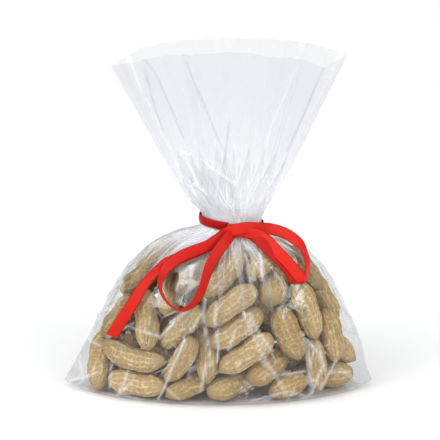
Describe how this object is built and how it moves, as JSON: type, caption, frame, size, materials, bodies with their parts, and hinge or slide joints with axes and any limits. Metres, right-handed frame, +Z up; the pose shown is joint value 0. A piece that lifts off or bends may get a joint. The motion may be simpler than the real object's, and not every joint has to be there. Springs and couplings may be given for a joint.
{
  "type": "bag of peanuts in the shell",
  "caption": "Clear film gift bag filled with peanuts in the shell, gathered at the neck and tied with a red satin ribbon bow, its top open as a fan.",
  "frame": {"origin": "on the floor plane, at the middle of the bag's flat base", "axes": "+Z up through the neck, +X to the right of someone who faces the bow, -Y out of the front, the side with the bow"},
  "size_m": [0.188, 0.0815, 0.215],
  "materials": {
    "clear_film": "clear, thin and glossy, crinkled",
    "red_satin": "woven satin with a soft sheen",
    "peanut_shell_pale": "dry and matt, ridged and netted",
    "peanut_shell_tan": "dry and matt, ridged and netted",
    "peanut_shell_brown": "dry and matt, ridged and netted"
  },
  "bodies": {
    "root": {"film_bag": "clear_film", "ribbon": "red_satin", "peanut_01": "peanut_shell_tan", "peanut_02": "peanut_shell_pale", "peanut_03": "peanut_shell_tan", "peanut_04": "peanut_shell_tan", "peanut_05": "peanut_shell_pale", "peanut_06": "peanut_shell_pale", "peanut_07": "peanut_shell_pale", "peanut_08": "peanut_shell_pale", "peanut_09": "peanut_shell_tan", "peanut_10": "peanut_shell_pale", "peanut_11": "peanut_shell_brown", "peanut_12": "peanut_shell_brown", "peanut_13": "peanut_shell_pale", "peanut_14": "peanut_shell_tan", "peanut_15": "peanut_shell_tan", "peanut_16": "peanut_shell_tan", "peanut_17": "peanut_shell_tan", "peanut_18": "peanut_shell_pale", "peanut_19": "peanut_shell_pale", "peanut_20": "peanut_shell_tan", "peanut_21": "peanut_shell_pale", "peanut_22": "peanut_shell_pale", "peanut_23": "peanut_shell_pale", "peanut_24": "peanut_shell_pale", "peanut_25": "peanut_shell_tan", "peanut_26": "peanut_shell_pale", "peanut_27": "peanut_shell_brown", "peanut_28": "peanut_shell_brown", "peanut_29": "peanut_shell_brown", "peanut_30": "peanut_shell_tan", "peanut_31": "peanut_shell_pale", "peanut_32": "peanut_shell_pale", "peanut_33": "peanut_shell_pale", "peanut_34": "peanut_shell_pale", "peanut_35": "peanut_shell_tan", "peanut_36": "peanut_shell_tan", "peanut_37": "peanut_shell_tan", "peanut_38": "peanut_shell_tan", "peanut_39": "peanut_shell_pale", "peanut_40": "peanut_shell_pale", "peanut_41": "peanut_shell_pale", "peanut_42": "peanut_shell_brown", "peanut_43": "peanut_shell_pale", "peanut_44": "peanut_shell_tan", "peanut_45": "peanut_shell_tan", "peanut_46": "peanut_shell_pale", "peanut_47": "peanut_shell_pale", "peanut_48": "peanut_shell_pale", "peanut_49": "peanut_shell_brown", "peanut_50": "peanut_shell_pale", "peanut_51": "peanut_shell_tan", "peanut_52": "peanut_shell_tan", "peanut_53": "peanut_shell_pale", "peanut_54": "peanut_shell_pale", "peanut_55": "peanut_shell_pale", "peanut_56": "peanut_shell_brown", "peanut_57": "peanut_shell_pale", "peanut_58": "peanut_shell_tan"}
  },
  "joints": []
}
